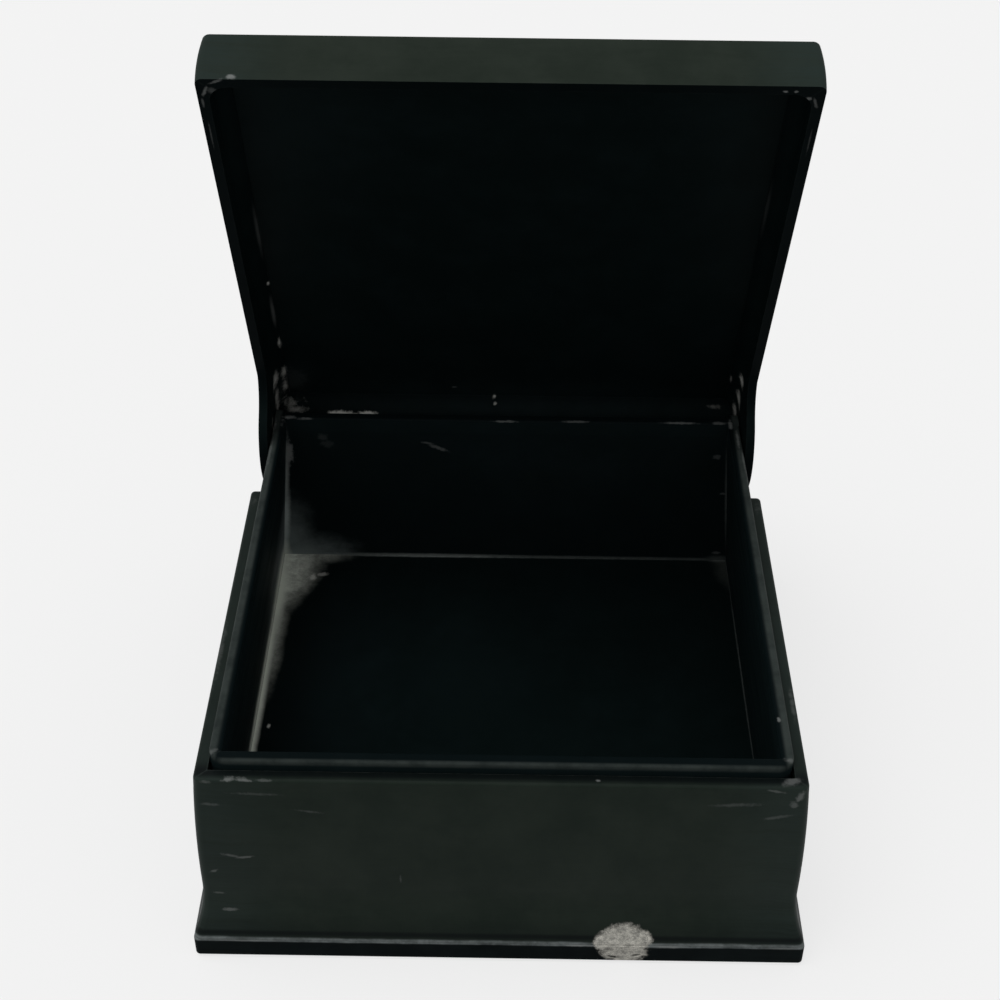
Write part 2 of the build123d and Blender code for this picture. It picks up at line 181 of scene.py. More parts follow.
# Bare streaks where the ears rub
HINGE_RUBS = Wear(CHALK, 0.70, Edge(0.75, 1.3, 0.0), [
    ((-41.5, 43.3, 55.2), (0.42, 1.6, 3.4), (-22, 0, 0), 0.65),
    ((-41.5, 36.6, 71.5), (0.36, 0.7, 0.7), (0, 0, 0), 0.8),
    ((-43.2, 45.2, 46.6), (0.75, 1.8, 4.2), (-22, 0, 0), 0.85),
    ((-43.4, 46.2, 41.8), (0.55, 1.6, 4.0), (-22, 0, 0), 0.65),
    ((-43.8, 46.6, 38.4), (1.10, 1.6, 3.0), (-22, 0, 0), 0.80),
    ((-41.7, 47.0, 46.8), (0.80, 1.8, 4.4), (-22, 0, 0), 0.55),
    ((-41.9, 48.0, 42.0), (0.60, 1.6, 4.4), (-22, 0, 0), 0.50),
    ((-41.3, 48.2, 38.2), (2.0, 1.6, 1.5), (0, 30, 0), 0.60),
    ((-39.2, 48.4, 39.4), (0.45, 1.2, 2.2), (0, -35, 0), 0.50),
    ((-43.5, 39.0, 38.0), (0.60, 1.4, 3.4), (-22, 0, 0), 0.85),
    ((-40.0, 48.3, 36.8), (2.6, 1.3, 0.8), (0, 0, 0), 0.60),
    ((-40.0, 47.8, 43.0), (3.4, 2.4, 6.0), (0, 0, 0), 0.10),
    ((43.3, 43.6, 47.8), (0.80, 1.4, 1.9), (-22, 0, 0), 1.0),
    ((43.3, 45.2, 42.8), (0.70, 1.4, 3.0), (-22, 0, 0), 0.85),
    ((43.2, 47.2, 37.8), (0.70, 1.4, 3.8), (-22, 0, 0), 0.90),
    ((41.7, 46.8, 46.0), (0.30, 1.0, 3.0), (-22, 0, 0), 0.25),
    ((39.5, 48.6, 38.2), (2.0, 0.9, 0.6), (0, 0, 0), 0.35),
])
# Painted reflections: faint pale lines where the inner panel meets the side rails
LID_CORNER_REFLECTIONS = Wear(BARE_EDGE_AND_REFLECTION, 0.9, Edge(0.25, 0.3, 0.0), [
    ((-41.6, 39.6, 64.0), (0.45, 4.0, 13.0), (-22, 0, 0), 0.30),
    ((-41.6, 31.0, 84.0), (0.45, 6.0, 30.0), (-22, 0, 0), 0.16),
    ((41.6, 28.0, 90.0), (0.40, 6.0, 30.0), (-22, 0, 0), 0.08),
])
# Rubbed places on the lip, most of them by the hinge
LIP_RUBS = Wear(BARE_EDGE_AND_REFLECTION, 0.75, Edge(0.9, 1.1, 0.3), [
    ((-43.0, 38.5, 39.7), (0.55, 3.4, 0.5), (0, 0, 0), 0.75),
    ((-41.7, 39.6, 39.6), (0.50, 2.6, 0.5), (0, 0, 0), 0.80),
    ((-40.6, 41.2, 39.9), (1.6, 0.6, 0.3), (0, 0, 0), 0.60),
    ((-37.6, 41.0, 39.8), (1.6, 0.4, 0.3), (0, 0, 0), 0.40),
    ((-42.8, 30.0, 39.9), (0.30, 5.5, 0.4), (0, 0, 0), 0.30),
    ((41.6, 40.6, 39.9), (0.45, 1.7, 0.6), (0, 0, 0), 0.85),
    ((42.5, 36.0, 39.9), (0.35, 3.4, 0.5), (0, 0, 0), 0.65),
    ((42.9, 29.5, 39.9), (0.25, 4.0, 0.4), (0, 0, 0), 0.35),
    ((39.6, 41.1, 39.9), (1.6, 0.5, 0.3), (0, 0, 0), 0.40),
    ((-0.3, 40.9, 39.8), (2.6, 0.35, 0.25), (0, 0, 0), 0.45),
    ((12.8, 41.0, 39.9), (2.8, 0.35, 0.25), (0, 0, 0), 0.35),
    ((32.2, 41.0, 39.9), (4.0, 0.35, 0.25), (0, 0, 0), 0.45),
    ((41.8, -35.6, 40.0), (0.35, 0.6, 0.2), (0, 0, 0), 0.7),
    ((42.4, -43.8, 39.8), (0.9, 0.7, 0.4), (0, 0, 0), 0.45),
    ((-42.5, -43.6, 39.8), (0.9, 0.7, 0.4), (0, 0, 0), 0.35),
])
# Chalky streaks on the back rail
CHALK_STREAKS = Wear(CHALK, 1.0, Edge(0.7, 1.5, 0.3), [
    ((-31.6, 47.6, 36.4), (3.0, 0.8, 0.62), (0, 0, 0), 1.0),
    ((-26.6, 47.6, 36.4), (2.4, 0.8, 0.60), (0, 0, 0), 1.0),
    ((-29.2, 47.6, 36.35), (2.6, 0.8, 0.26), (0, 0, 0), 0.6),
    ((-9.9, 48.8, 42.0), (0.75, 0.6, 0.35), (0, 0, 0), 0.45),
    ((-2.4, 49.4, 39.5), (0.45, 0.7, 0.70), (0, 20, 0), 0.55),
    ((-2.3, 49.2, 38.1), (0.40, 0.7, 0.40), (0, 0, 0), 0.45),
])
# Streaks and spots at the back of the well
WALL_STREAKS = Wear(BARE_EDGE_AND_REFLECTION, 0.8, Edge(0.9, 1.2, 0.3), [
    ((-13.0, 41.1, 33.4), (2.6, 0.6, 0.55), (0, 26, 0), 0.40),
    ((-14.8, 41.0, 34.5), (1.4, 0.6, 0.35), (0, 10, 0), 0.30),
    ((-41.4, 41.2, 31.4), (1.30, 1.3, 3.6), (4, 5, 0), 1.0),
    ((-41.9, 41.7, 27.0), (0.45, 0.9, 4.0), (4, 5, 0), 0.60),
    ((-34.6, 41.0, 35.6), (1.2, 0.6, 1.2), (0, 0, 0), 0.12),
    ((-33.8, 41.2, 34.0), (1.6, 0.6, 1.1), (0, 0, 0), 0.10),
    ((39.8, 41.3, 32.0), (0.9, 0.6, 0.8), (0, 0, 0), 0.30),
    ((41.9, 42.1, 22.5), (0.7, 0.6, 0.35), (0, 0, 0), 0.35),
    ((42.0, 43.6, 6.4), (1.0, 0.6, 0.5), (0, 0, 0), 0.40),
])
# Dust in the seams of the well
CORNER_SEAMS = Wear(DUST, 1.0, Edge(0.22, 0.7, 0.1), [
    ((-42.6, 42.0, 22.0), (0.95, 1.3, 17.0), (4.8, 5.2, 0), 0.55),
    ((-43.2, 42.7, 14.0), (1.20, 1.5, 12.0), (4.8, 5.2, 0), 0.90),
    ((42.7, 42.1, 21.0), (0.50, 0.8, 17.5), (4.8, -5.2, 0), 0.12),
    ((0.0, 43.8, 4.6), (90.0, 0.60, 0.60), (0, 0, 0), 0.13),
    ((-16.0, 43.8, 4.6), (30.0, 0.7, 0.7), (0, 0, 0), 0.30),
    ((44.2, 12.0, 4.6), (0.40, 38.0, 0.4), (0, 0, 0), 0.10),
    ((42.5, 43.7, 4.8), (3.5, 1.0, 1.2), (0, 0, 0), 0.10),
])
# Thick dust along the left seam of the floor, with a painted highlight on the cove there
SEAM_DUST_AND_HIGHLIGHT = Wear(WARM_DUST_AND_HIGHLIGHT, 1.0, Edge(0.18, 0.30, 0.2), [
    ((-44.2, 6.0, 4.6), (1.4, 50.0, 4.6), (0, 0, 0), 0.95),
    ((-44.1, 32.0, 4.6), (2.1, 19.0, 7.0), (0, 0, 0), 0.95),
])
# Dust on the walls at the back left corner of the well
WALL_HAZE = Wear(DUST_COOL, 0.75, Edge(0.35, 0.22, 0.0), [
    ((-42.0, 43.7, 4.5), (15.0, 2.4, 8.0), (0, 0, 0), 0.62),
    ((-43.4, 43.2, 9.0), (7.0, 2.2, 18.0), (0, 0, 0), 0.55),
    ((-43.6, 38.0, 8.0), (1.6, 30.0, 20.0), (0, 0, 0), 0.42),
])
# Dust on the floor, in the same corner
FLOOR_DUST = Wear(WARM_DUST_AND_HIGHLIGHT, 1.0, Edge(0.26, 0.14, 0.15), [
    ((-43.4, 42.0, 4.5), (8.6, 9.0, 1.8), (0, 0, -14), 1.0),
    ((-43.0, 36.5, 4.5), (6.6, 14.0, 1.8), (0, 0, -14), 1.0),
    ((-43.8, 22.0, 4.5), (3.0, 22.0, 1.4), (0, 0, 0), 0.60),
    ((-39.0, 43.4, 4.5), (10.0, 3.2, 1.4), (0, 0, 0), 0.40),
    ((44.0, 41.0, 4.5), (3.4, 9.0, 1.4), (0, 0, 12), 0.03),
])
# Crumbs on the floor
FLOOR_SPECKS = Wear(CHALK, 0.8, Edge(0.7, 2.0, 0.3), [
    ((-37.8, 36.7, 4.5), (0.80, 1.2, 0.3), (0, 0, 0), 1.0),
    ((-36.0, 37.6, 4.5), (1.4, 0.7, 0.3), (0, 0, 10), 0.55),
    ((-41.7, -4.0, 4.5), (0.40, 0.7, 0.3), (0, 0, 0), 0.9),
    ((-39.8, 40.2, 4.5), (1.2, 0.8, 0.3), (0, 0, 20), 0.5),
])
# Painted sheen: pale patches on the floor
FLOOR_SHEEN = Wear(LACQUER_HAZE_AND_SHEEN, 0.9, Edge(0.5, 0.10, 0.0), [
    ((-10.0, 12.0, 4.5), (22.0, 28.0, 2.0), (0, 0, 10), 0.24),
    ((-14.0, -24.0, 4.5), (22.0, 20.0, 2.0), (0, 0, -20), 0.40),
    ((-34.0, 10.0, 4.5), (24.0, 40.0, 2.0), (0, 0, 0), 0.65),
])
# Dull patches high on the back lining board
BACK_HAZE = Wear(LACQUER_HAZE_AND_SHEEN, 0.9, Edge(1.6, 0.5, 0.0), [
    ((-2.0, 41.4, 32.0), (11.0, 1.5, 5.5), (0, 0, 0), 0.55),
    ((16.0, 41.6, 29.5), (14.0, 1.5, 6.0), (0, 0, 0), 0.50),
])
# Dull patches inside the lid
PANEL_HAZE = Wear(LACQUER_HAZE_AND_SHEEN, 0.9, Edge(0.5, 0.10, 0.0), [
    ((-31.0, 17.0, 108.0), (17.0, 12.0, 18.0), (0, 0, 0), 0.30),
    ((34.0, 17.0, 108.0), (12.0, 12.0, 20.0), (0, 0, 0), 0.20),
    ((-39.0, 47.0, 45.0), (5.0, 5.0, 8.0), (0, 0, 0), 0.60),
    ((0.0, 48.0, 39.0), (60.0, 4.0, 7.0), (0, 0, 0), 0.80),
])
RAIL_HAZE = PANEL_HAZE._replace(edge=Edge(0.5, 0.25, 0.0))
PANEL_RUBS = Wear(BARE_EDGE_AND_REFLECTION, 0.6, Edge(0.9, 1.1, 0.3), HINGE_RUBS.spots + CHALK_STREAKS.spots)
# Wear along the top edge of the base plate
PLATE_WEAR = Wear(BARE_EDGE_AND_REFLECTION, 0.8, Edge(0.8, 1.2, 0.3), [
    ((12.8, -50.1, 4.1), (3.2, 0.5, 0.35), (0, 0, 0), 0.8),
    ((26.8, -50.1, 4.0), (3.0, 0.5, 0.35), (0, 0, 0), 0.8),
    ((-40.0, -50.1, 4.1), (7.0, 0.5, 0.28), (0, 0, 0), 0.45),
    ((44.5, -50.0, 4.0), (3.0, 0.5, 0.30), (0, 0, 0), 0.45),
])
# Place where the lacquer is knocked off, over the plate and the foot of the wall
CHIP = Wear(FIBRE_PALE, 1.0, Edge(0.42, 0.8, 0.7), [
    ((19.4, -50.0, 5.2), (3.7, 3.0, 3.3), (0, 0, 0), 1.0),
    ((16.8, -50.1, 4.6), (2.2, 2.0, 1.8), (0, 20, 0), 1.0),
    ((22.0, -50.1, 5.2), (2.2, 2.0, 2.2), (0, -20, 0), 1.0),
    ((19.7, -50.2, 2.6), (3.9, 1.8, 2.5), (0, 0, 0), 1.0),
])
# Pits in it, where some lacquer is left
CHIP_PITS = Wear(LACQUER, 0.9, Edge(0.6, 1.6, 0.3), [
    ((18.0, -50.2, 1.5), (1.3, 1.0, 0.35), (0, 10, 0), 1.0),
    ((21.6, -50.2, 2.0), (0.9, 1.0, 0.30), (0, -15, 0), 0.9),
    ((17.0, -50.1, 3.4), (0.7, 1.0, 0.35), (0, 0, 0), 0.5),
])


# ---- building node trees ---------------------------------------------------------------------
def put(tree, kind, sockets=None, **settings):
    """Add a node, set its settings, and fill or link its inputs."""
    node = tree.nodes.new(kind)
    for key, value in settings.items():
        setattr(node, key, value)
    for key, value in (sockets or {}).items():
        if isinstance(value, bpy.types.NodeSocket):
            tree.links.new(value, node.inputs[key])
        else:
            node.inputs[key].default_value = value
    return node


def calc(tree, operation, first, second=0.0, third=0.0, clamp=False):
    """One sum on numbers."""
    sockets = {0: first, 1: second, 2: third}
    return put(tree, "ShaderNodeMath", sockets, operation=operation, use_clamp=clamp).outputs[0]


def ramp(tree, value, low, high, to_low=0.0, to_high=1.0):
    """Smooth step of a value between two limits."""
    sockets = {"Value": value, "From Min": low, "From Max": high, "To Min": to_low, "To Max": to_high}
    return put(tree, "ShaderNodeMapRange", sockets, interpolation_type="SMOOTHSTEP").outputs[0]


def blend(tree, share, first, second):
    """Mix of two colours."""
    sockets = {"Factor": share, "A": first, "B": second}
    node = tree.nodes.new("ShaderNodeMix")
    node.data_type = "RGBA"
    for key, value in sockets.items():
        kind = "NodeSocketFloatFactor" if key == "Factor" else "NodeSocketColor"
        socket = [s for s in node.inputs if s.name == key and s.bl_idname.startswith(kind)][0]
        if isinstance(value, bpy.types.NodeSocket):
            tree.links.new(value, socket)
        else:
            socket.default_value = value
    return [s for s in node.outputs if s.bl_idname.startswith("NodeSocketColor")][0]


def noise(tree, place, scale, detail=3.0, rough=0.55):
    """Plain noise, 0 to 1."""
    sockets = {"Vector": place, "Scale": scale, "Detail": detail, "Roughness": rough}
    return put(tree, "ShaderNodeTexNoise", sockets).outputs["Fac"]


def axis(tree, vector, name):
    """One part of a vector: X, Y or Z."""
    return put(tree, "ShaderNodeSeparateXYZ", {0: vector}).outputs[name]


def facing(tree):
    """Which way the surface faces, in the object's own axes, at any pose."""
    return put(tree, "ShaderNodeTexCoord").outputs["Normal"]


def stretched(tree, place, scale):
    """A place vector scaled by its own amount along each axis."""
    return put(tree, "ShaderNodeVectorMath", {0: place, 1: scale}, operation="MULTIPLY").outputs[0]


def new_group(name, inputs, outputs):
    """Empty node group with named sockets; returns the tree and its in and out ends."""
    tree = bpy.data.node_groups.new(name, "ShaderNodeTree")
    for label, kind, value in inputs:
        socket = tree.interface.new_socket(label, in_out="INPUT", socket_type=kind)
        socket.default_value = value
    for label, kind in outputs:
        tree.interface.new_socket(label, in_out="OUTPUT", socket_type=kind)
    return tree, tree.nodes.new("NodeGroupInput").outputs, tree.nodes.new("NodeGroupOutput").inputs


def use(tree, group, **sockets):
    """Place a node group, with underscores for the spaces in its socket names."""
    named = {key.replace("_", " "): value for key, value in sockets.items()}
    return put(tree, "ShaderNodeGroup", named, node_tree=group).outputs


FLOAT = "NodeSocketFloat"
VECTOR = "NodeSocketVector"


def make_millimetres():
    """Object coordinates in millimetres."""
    tree, _, out = new_group("millimetres", [], [("Place", VECTOR)])
    spot = put(tree, "ShaderNodeTexCoord").outputs["Object"]
    scaled = put(tree, "ShaderNodeVectorMath", {0: spot, "Scale": 1 / MM}, operation="SCALE")
    tree.links.new(scaled.outputs[0], out["Place"])
    return tree


def shut_turn(tree, vector, centre):
    """Turn a vector of the open lid about the pins to where it points when the lid is shut."""
    turn = {"Vector": vector, "Center": centre, "Axis": (1, 0, 0), "Angle": radians(LID_OPEN)}
    return put(tree, "ShaderNodeVectorRotate", turn, rotation_type="AXIS_ANGLE").outputs[0]


def make_closed_lid():
    """Turns a place on the open lid back to where it lies when the lid is shut."""
    tree, given, out = new_group("closed_lid", [("Place", VECTOR, (0, 0, 0))], [("Place", VECTOR)])
    tree.links.new(shut_turn(tree, given["Place"], PIN), out["Place"])
    return tree


def make_outer_side():
    """Outer faces and rim of the lid as two masks; takes a place on the shut lid."""
    masks = [("Outside", FLOAT), ("Rim", FLOAT)]
    tree, given, out = new_group("outer_side", [("Place", VECTOR, (0, 0, 0))], masks)
    shut = shut_turn(tree, facing(tree), (0, 0, 0))
    level = stretched(tree, given["Place"], (1 / HALF_X, 1 / HALF_Y, 0))
    outward = put(tree, "ShaderNodeVectorMath", {0: shut, 1: level}, operation="DOT_PRODUCT")
    upward = axis(tree, shut, "Z")
    most = calc(tree, "MAXIMUM", outward.outputs["Value"], upward)
    tree.links.new(ramp(tree, most, 0.25, 0.45), out["Outside"])
    tree.links.new(ramp(tree, upward, -0.45, -0.9), out["Rim"])
    return tree


def make_brush_lines():
    """Soft streaks and clouds left by brush and sandpaper, along the length of a board."""
    inputs = [("Place", VECTOR, (0, 0, 0)), ("Across", VECTOR, (0.05, 0.05, 3.0))]
    tree, given, out = new_group("brush_lines", inputs, [("Lines", FLOAT), ("Cloud", FLOAT)])
    bent = put(tree, "ShaderNodeTexNoise", {"Vector": given["Place"], "Scale": 0.09, "Detail": 2.0})
    swayed = put(
        tree,
        "ShaderNodeVectorMath",
        {0: bent.outputs["Color"], 1: (3.0, 3.0, 3.0), 2: given["Place"]},
        operation="MULTIPLY_ADD",
    ).outputs[0]
    fine = noise(tree, stretched(tree, swayed, given["Across"]), 1.5, 6.0, 0.68)
    broad = noise(tree, stretched(tree, swayed, given["Across"]), 0.30, 3.0, 0.6)
    lines = calc(tree, "MULTIPLY_ADD", fine, 0.6, calc(tree, "MULTIPLY", broad, 0.4))
    tree.links.new(lines, out["Lines"])
    tree.links.new(noise(tree, given["Place"], 0.11, 5.0, 0.68), out["Cloud"])
    return tree


def make_edge_rub_and_highlight():
    """Where corners and arrises are worn pale, with painted highlight along them, broken up by noise.
    """
    inputs = [("Place", VECTOR, (0, 0, 0)), ("Width", FLOAT, 0.5), ("Patchy", FLOAT, 0.6)]
    tree, given, out = new_group("edge_rub_and_highlight", inputs, [("Rub and highlight", FLOAT)])
    width = calc(tree, "MULTIPLY", given["Width"], MM)
    rounded = put(tree, "ShaderNodeBevel", {"Radius": width}, samples=6).outputs[0]
    flat = put(tree, "ShaderNodeNewGeometry").outputs["Normal"]
    alike = put(tree, "ShaderNodeVectorMath", {0: rounded, 1: flat}, operation="DOT_PRODUCT")
    bend = ramp(tree, calc(tree, "SUBTRACT", 1.0, alike.outputs["Value"]), 0.02, 0.22)
    patches = ramp(tree, noise(tree, given["Place"], 0.45, 6.0, 0.7), 0.40, 0.66)
    even = calc(tree, "SUBTRACT", 1.0, given["Patchy"])
    kept = calc(tree, "MULTIPLY_ADD", patches, given["Patchy"], even)
    tree.links.new(calc(tree, "MULTIPLY", bend, kept, clamp=True), out["Rub and highlight"])
    return tree


def make_mark():
    """One local mark, such as a scuff or a streak: an ellipsoid with a ragged edge."""
    inputs = [
        ("Place", VECTOR, (0, 0, 0)),
        ("Centre", VECTOR, (0, 0, 0)),
        ("Turn", VECTOR, (0, 0, 0)),
        ("Reach", VECTOR, (1, 1, 1)),
        ("Ragged", FLOAT, 0.5),
        ("Grain", FLOAT, 1.5),
        ("Core", FLOAT, 0.45),
    ]
    tree, given, out = new_group("mark", inputs, [("Mark", FLOAT)])
    sockets = {
        "Vector": given["Place"],
        "Location": given["Centre"],
        "Rotation": given["Turn"],
        "Scale": given["Reach"],
    }
    local = put(tree, "ShaderNodeMapping", sockets, vector_type="TEXTURE").outputs[0]
    away = put(tree, "ShaderNodeVectorMath", {0: local}, operation="LENGTH").outputs["Value"]
    rag = calc(tree, "SUBTRACT", noise(tree, given["Place"], given["Grain"], 4.0, 0.7), 0.5)
    edge = calc(tree, "MULTIPLY_ADD", rag, calc(tree, "MULTIPLY", given["Ragged"], 2.0), away)
    tree.links.new(ramp(tree, edge, given["Core"], 1.05, 1.0, 0.0), out["Mark"])
    return tree


def make_specks():
    """Tiny pale specks of grit, few and far between."""
    inputs = [("Place", VECTOR, (0, 0, 0)), ("Scale", FLOAT, 0.25), ("Size", FLOAT, 0.06)]
    tree, given, out = new_group("specks", inputs, [("Specks", FLOAT)])
    cells = put(tree, "ShaderNodeTexVoronoi", {"Vector": given["Place"], "Scale": given["Scale"]})
    size = calc(tree, "MULTIPLY", given["Size"], cells.outputs["Color"])
    near = calc(tree, "SUBTRACT", size, cells.outputs["Distance"])
    tree.links.new(ramp(tree, near, 0.0, 0.01), out["Specks"])
    return tree


millimetres = make_millimetres()
closed_lid = make_closed_lid()
outer_side = make_outer_side()
brush_lines = make_brush_lines()
edge_rub_and_highlight = make_edge_rub_and_highlight()
mark = make_mark()
specks = make_specks()


# ---- laying colours over each other --------------------------------------------------------------
def marked(tree, place, wear):
    """Strongest of the spots of some wear, full inside their core and fading outwards."""
    strongest = None
    edge = {"Ragged": wear.edge.ragged, "Grain": wear.edge.grain, "Core": wear.edge.core}
    for centre, reach, turn, strength in wear.spots:
        angles = tuple(radians(angle) for angle in turn)
        spot = use(tree, mark, Place=place, Centre=centre, Reach=reach, Turn=angles, **edge)
        value = calc(tree, "MULTIPLY", spot["Mark"], strength)
        strongest = value if strongest is None else calc(tree, "MAXIMUM", strongest, value)
    return strongest


def tinted(tree, colour, share, amount, tint):
    """Lay a tint over a colour where a mask says so."""
    return blend(tree, calc(tree, "MULTIPLY", share, amount, clamp=True), colour, tint)


def worn(tree, place, colour, *wears):
    """Lay wear over a colour, one kind after another; returns the colour and the last mask."""
    for wear in wears:
        mask = marked(tree, place, wear)
        colour = tinted(tree, colour, mask, wear.amount, wear.tint)
    return colour, mask


def rubbed_and_highlit(tree, place, colour, width, patchy, amount, where=1.0):
    """Lay pale wear and painted highlight along the arrises over some width, in patches."""
    rub = use(tree, edge_rub_and_highlight, Place=place, Width=width, Patchy=patchy)["Rub and highlight"]
    return tinted(tree, colour, calc(tree, "MULTIPLY", rub, where), amount, LACQUER_RUB_AND_HIGHLIGHT)


def satin(tree, place, across, dark, light, ends=0.6):
    """Colour and streaks of brushed satin lacquer, a little paler toward the ends of a board."""
    lines = use(tree, brush_lines, Place=place, Across=across)
    mixed = calc(tree, "MULTIPLY_ADD", lines["Lines"], 0.5, lines["Cloud"])
    colour = blend(tree, ramp(tree, mixed, 0.50, 1.02), dark, light)
    along = calc(tree, "ABSOLUTE", axis(tree, place, "X"))
    streaks = ramp(tree, lines["Lines"], 0.35, 0.62, 0.35, 1.0)
    wisps = calc(tree, "MULTIPLY", ramp(tree, along, *BOARD_ENDS), streaks)
    return tinted(tree, colour, wisps, ends, LACQUER_ENDS), lines["Lines"]


def deep(tree, place, across, least, most):
    """Colour and streaks of deep black lacquer, between least and most hazy."""
    lines = use(tree, brush_lines, Place=place, Across=across)
    haze = ramp(tree, lines["Cloud"], *CLOUDS, least, most)
    return blend(tree, haze, LACQUER_DEEP, LACQUER_HAZE_AND_SHEEN), lines["Lines"]


def chipped(tree, place, colour):
    """Pale torn fibres where the lacquer is knocked off; returns colour, mask and relief."""
    chip = marked(tree, place, CHIP)
    fibre = noise(tree, stretched(tree, place, (1.0, 1.0, 1.3)), 0.9, 9.0, 0.82)
    core = blend(tree, ramp(tree, fibre, 0.36, 0.60), FIBRE_DARK, CHIP.tint)
    core, _ = worn(tree, place, core, CHIP_PITS)
    dent = calc(tree, "MULTIPLY", chip, calc(tree, "MULTIPLY_ADD", fibre, 2.4, -2.4))
    return blend(tree, chip, colour, core), chip, dent


def foot_line(tree, place):
    """Pale line along the joint of the base plate and the foot of the walls: partly wear, partly
    painted highlight on the bead.
    """
    sway = calc(tree, "MULTIPLY_ADD", noise(tree, place, 0.12, 4.0, 0.6), 0.7, -0.35)
    height = calc(tree, "ADD", axis(tree, place, "Z"), sway)
    off = calc(tree, "ABSOLUTE", calc(tree, "SUBTRACT", height, FOOT_LINE_Z))
    patches = ramp(tree, noise(tree, place, 0.30, 8.0, 0.75), 0.32, 0.66, 0.35, 1.0)
    return calc(tree, "MULTIPLY", ramp(tree, off, 0.15, 0.62, 1.0, 0.0), patches)


def foot_painted_shade(tree, place, colour):
    """Painted shade on the foot of the walls, darkest in the groove just over the plate."""
    height = axis(tree, place, "Z")
    colour = tinted(tree, colour, ramp(tree, height, *FOOT_PAINTED_SHADE, 1.0, 0.0), 0.35, BLACK_AND_PAINTED_SHADE)
    off = calc(tree, "ABSOLUTE", calc(tree, "SUBTRACT", height, GROOVE_Z))
    return tinted(tree, colour, ramp(tree, off, 0.1, GROOVE, 1.0, 0.0), 0.75, BLACK_AND_PAINTED_SHADE)


def ledge_painted_shade(tree, place):
    """Mask of painted shade on the ledge, which is darkest along the front."""
    inward = calc(tree, "ADD", axis(tree, place, "Y"), HALF_Y)
    level = ramp(tree, axis(tree, facing(tree), "Z"), 0.6, 0.95)
    front = calc(tree, "MULTIPLY", level, ramp(tree, inward, -0.1, 1.0, 0.25, 1.0))
    return calc(tree, "MULTIPLY", front, ramp(tree, inward, 1.5, 4.0, 1.0, 0.35))


def lip_masks(tree, place):
    """Masks of the lip: its upper part, its very top, and the outer half of that, in patches."""
    height = axis(tree, place, "Z")
    raised = ramp(tree, height, LIP_TOP - 1.3, LIP_TOP - 0.5)
    top = ramp(tree, height, LIP_TOP - 0.6, LIP_TOP - 0.1)
    beyond = calc(tree, "SUBTRACT", calc(tree, "ABSOLUTE", axis(tree, place, "X")), LIP_X - 0.5)
    ahead = calc(tree, "SUBTRACT", LIP_Y - 0.4, axis(tree, place, "Y"))
    outer = ramp(tree, calc(tree, "MAXIMUM", beyond, ahead), -1.05, -0.35)
    patches = ramp(tree, noise(tree, place, 0.25, 5.0, 0.7), 0.32, 0.62, 0.55, 1.0)
    return raised, top, calc(tree, "MULTIPLY", calc(tree, "MULTIPLY", raised, outer), patches)


# ---- materials -----------------------------------------------------------------------------------
def new_material(name, gloss=None):
    """Empty material; returns it, its tree, its surface shader and the place in millimetres."""
    material = bpy.data.materials.new(name)
    material.use_nodes = True
    tree = material.node_tree
    shader = tree.nodes["Principled BSDF"]
    if gloss is not None:
        shader.inputs["Specular IOR Level"].default_value = gloss
    return material, tree, shader, use(tree, millimetres)["Place"]


def finish(tree, shader, colour, roughness, height, depth, strength):
    """Send colour, roughness and relief to the shader; depth is in millimetres."""
    tree.links.new(colour, shader.inputs["Base Color"])
    tree.links.new(roughness, shader.inputs["Roughness"])
    sockets = {"Height": height, "Distance": depth * MM, "Strength": strength}
    tree.links.new(put(tree, "ShaderNodeBump", sockets).outputs["Normal"], shader.inputs["Normal"])


def lacquered(tree, shader, colour, lines, coat, dry=None, dent=0.0):
    """Finish a coat: brush lines in its roughness and relief, rougher where it is dry."""
    rough = ramp(tree, lines, *STREAKS, coat.smooth, coat.rough)
    if dry is not None:
        rough = calc(tree, "MULTIPLY_ADD", dry, DRY, rough, clamp=True)
    height = calc(tree, "MULTIPLY_ADD", lines, coat.relief, dent)
    finish(tree, shader, colour, rough, height, coat.depth, coat.strength)


def case_lacquer():
    """Satin black outside of the case: streaks, painted shade on the ledge and the foot, worn pale
    arrises with painted highlight, scratches and the chip.
    """
    material, tree, shader, place = new_material("case_lacquer", OUTER_GLOSS)
    colour, lines = satin(tree, place, UPRIGHT, LACQUER, LACQUER_WORN)
    # painted shade on the ledge
    colour = tinted(tree, colour, ledge_painted_shade(tree, place), 0.9, BLACK_AND_PAINTED_SHADE)
    colour = rubbed_and_highlit(tree, place, colour, width=0.40, patchy=0.7, amount=0.45)
    colour = foot_painted_shade(tree, place, colour)
    colour = tinted(tree, colour, foot_line(tree, place), 0.9, LACQUER_PALE)
    colour, scuffs = worn(tree, place, colour, FRONT_SCRATCHES, LEDGE_SCUFFS)
    colour, chip, dent = chipped(tree, place, colour)
    lacquered(tree, shader, colour, lines, SATIN, calc(tree, "MAXIMUM", chip, scuffs), dent)
    return material


def shaded_plate_lacquer():
    """Darker lacquer of the base plate as painted shade, with a pale line along its top edge that is
    partly wear and partly painted highlight.
    """
    material, tree, shader, place = new_material("shaded_plate_lacquer", INNER_GLOSS)
    colour, lines = satin(tree, place, UPRIGHT, BLACK_AND_PAINTED_SHADE, LACQUER_PLATE_SHADED, ends=0.1)
    colour = tinted(tree, colour, foot_line(tree, place), 0.9, LACQUER_PALE)
    colour = rubbed_and_highlit(tree, place, colour, width=0.40, patchy=0.8, amount=0.25)
    colour, wear = worn(tree, place, colour, PLATE_WEAR)
    colour, chip, dent = chipped(tree, place, colour)
    lacquered(tree, shader, colour, lines, PLATE_SATIN, calc(tree, "MAXIMUM", chip, wear), dent)
    return material


